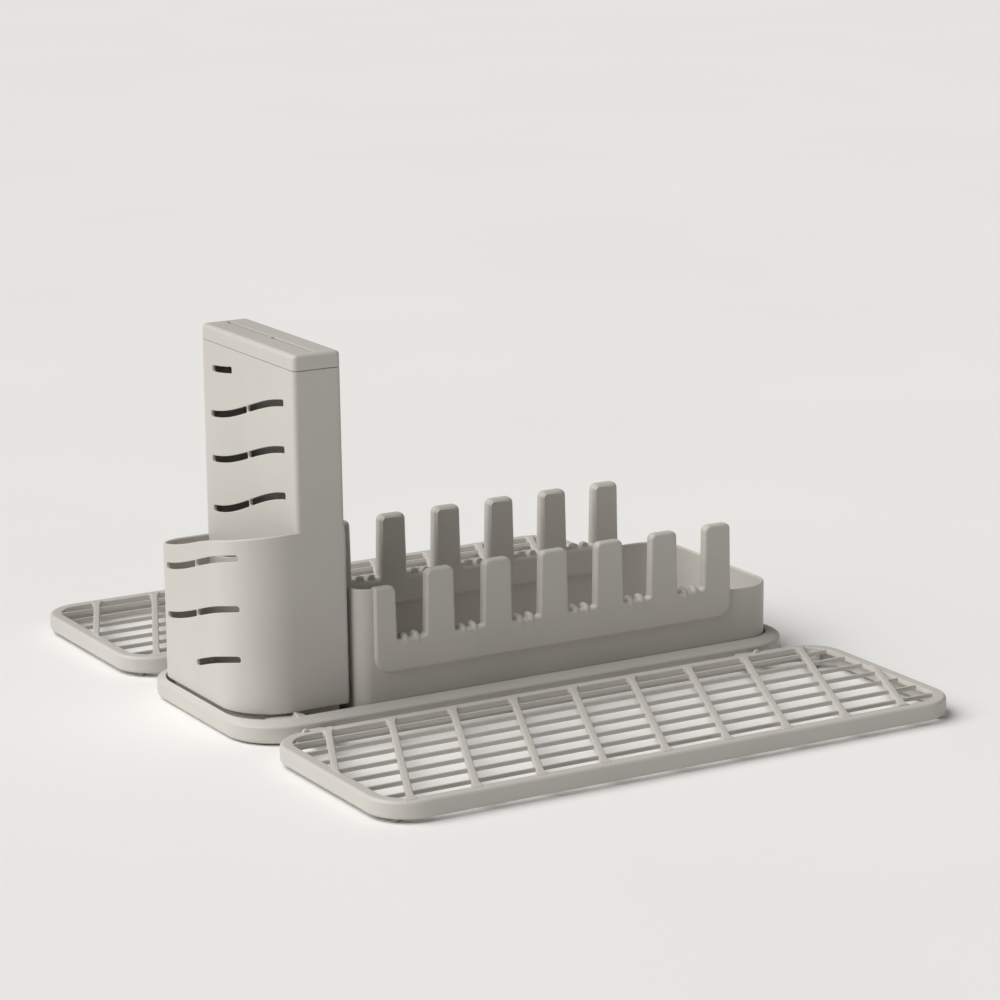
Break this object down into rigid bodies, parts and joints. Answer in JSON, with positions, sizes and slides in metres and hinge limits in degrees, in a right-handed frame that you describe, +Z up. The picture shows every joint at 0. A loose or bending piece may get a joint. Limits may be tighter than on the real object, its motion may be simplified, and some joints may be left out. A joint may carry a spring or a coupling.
{
  "type": "dish drying rack",
  "caption": "Compact dish drying rack: base tray with a cutlery caddy and knife block, a lift-out plate bin, and a folding grated draining tray on each long side",
  "frame": {"origin": "middle of the base tray, on the surface that the feet stand on", "axes": "+X along the rack's length, with the caddy at the -X end, +Y to the back, +Z up"},
  "size_m": [0.3536, 0.4358, 0.2062],
  "materials": {
    "greige_plastic": "fine matt mould texture",
    "foot_rubber": "plain",
    "pin_steel": "drawn"
  },
  "bodies": {
    "base": {"base_tray": "greige_plastic", "base_foot_1": "foot_rubber", "base_foot_2": "foot_rubber", "base_foot_3": "foot_rubber", "base_foot_4": "foot_rubber", "front_left_hinge_pin": "pin_steel", "front_right_hinge_pin": "pin_steel", "back_left_hinge_pin": "pin_steel", "back_right_hinge_pin": "pin_steel"},
    "caddy": {"utensil_caddy": "greige_plastic"},
    "cap": {"block_cap": "greige_plastic"},
    "bin": {"plate_bin": "greige_plastic"},
    "front_tray": {"front_tray": "greige_plastic", "front_tray_foot_1": "foot_rubber", "front_tray_foot_2": "foot_rubber", "front_tray_foot_3": "foot_rubber", "front_tray_foot_4": "foot_rubber"},
    "back_tray": {"back_tray": "greige_plastic", "back_tray_foot_1": "foot_rubber", "back_tray_foot_2": "foot_rubber", "back_tray_foot_3": "foot_rubber", "back_tray_foot_4": "foot_rubber"}
  },
  "joints": [
    {"name": "front_tray_fold", "type": "hinge", "parent": "base", "child": "front_tray", "pos_m": [0, -0.0767, 0.007], "axis": [-1, 0, 0], "range_deg": [0, 90]},
    {"name": "back_tray_fold", "type": "hinge", "parent": "base", "child": "back_tray", "pos_m": [0, 0.0767, 0.007], "axis": [1, 0, 0], "range_deg": [0, 90]},
    {"name": "caddy_lift", "type": "slide", "parent": "base", "child": "caddy", "axis": [0, 0, 1], "range_m": [0, 0.12]},
    {"name": "plate_bin_lift", "type": "slide", "parent": "base", "child": "bin", "axis": [0, 0, 1], "range_m": [0, 0.12]},
    {"name": "cap_lift", "type": "slide", "parent": "caddy", "child": "cap", "axis": [0, 0, 1], "range_m": [0, 0.06]}
  ]
}
